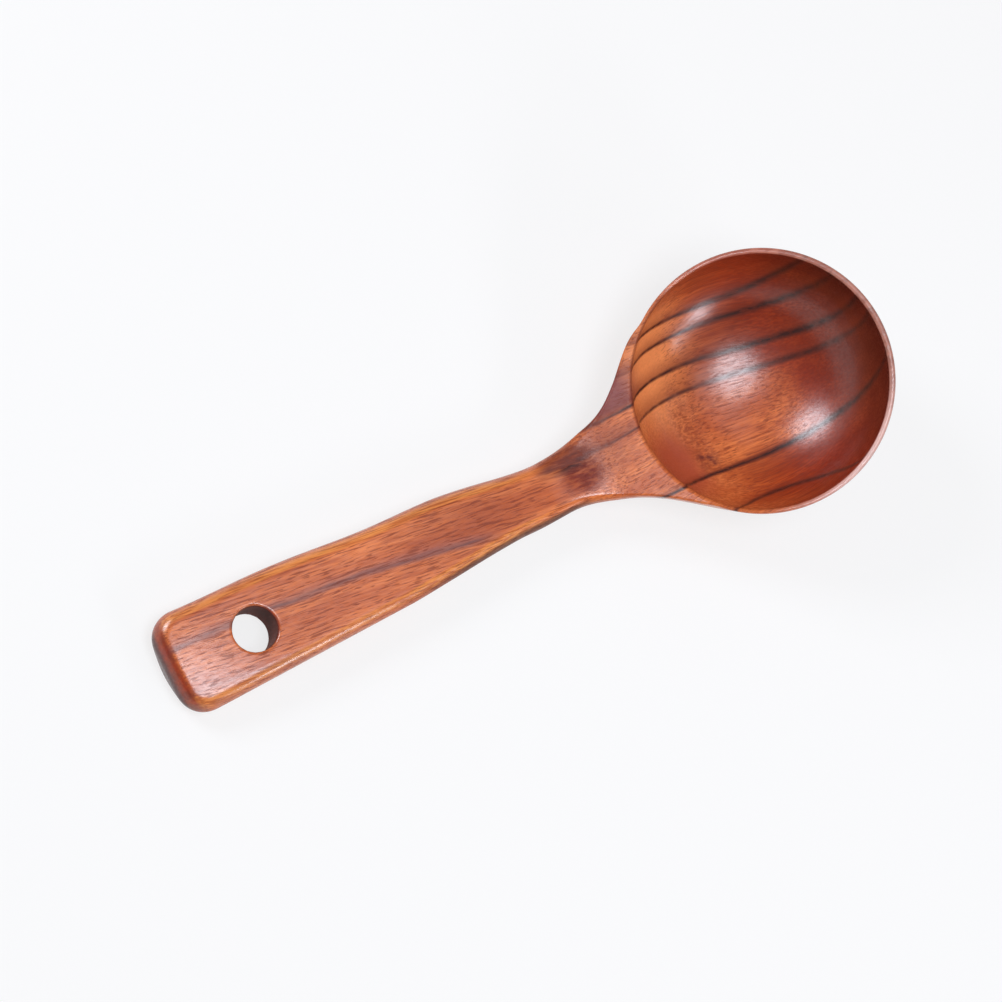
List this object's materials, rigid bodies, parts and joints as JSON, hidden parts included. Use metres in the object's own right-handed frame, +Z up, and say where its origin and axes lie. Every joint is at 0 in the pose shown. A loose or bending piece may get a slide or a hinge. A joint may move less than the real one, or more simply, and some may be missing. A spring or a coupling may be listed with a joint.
{
  "type": "soup ladle",
  "caption": "Short-handled wooden soup ladle with a round bowl, a flared waisted neck and a flat rising handle with a hanging hole; lies at rest on its bowl and handle end.",
  "frame": {"origin": "middle of the ladle's footprint box, on the table it lies on", "axes": "+X from the handle's end towards the bowl, +Z up from the table, Y across the ladle, which is symmetric about Y = 0"},
  "size_m": [0.2124, 0.072, 0.0471],
  "materials": {
    "lacquered_wood": "glossy clear lacquer over red-brown wood"
  },
  "bodies": {
    "root": {"bowl": "lacquered_wood", "neck": "lacquered_wood", "handle": "lacquered_wood"}
  },
  "joints": []
}
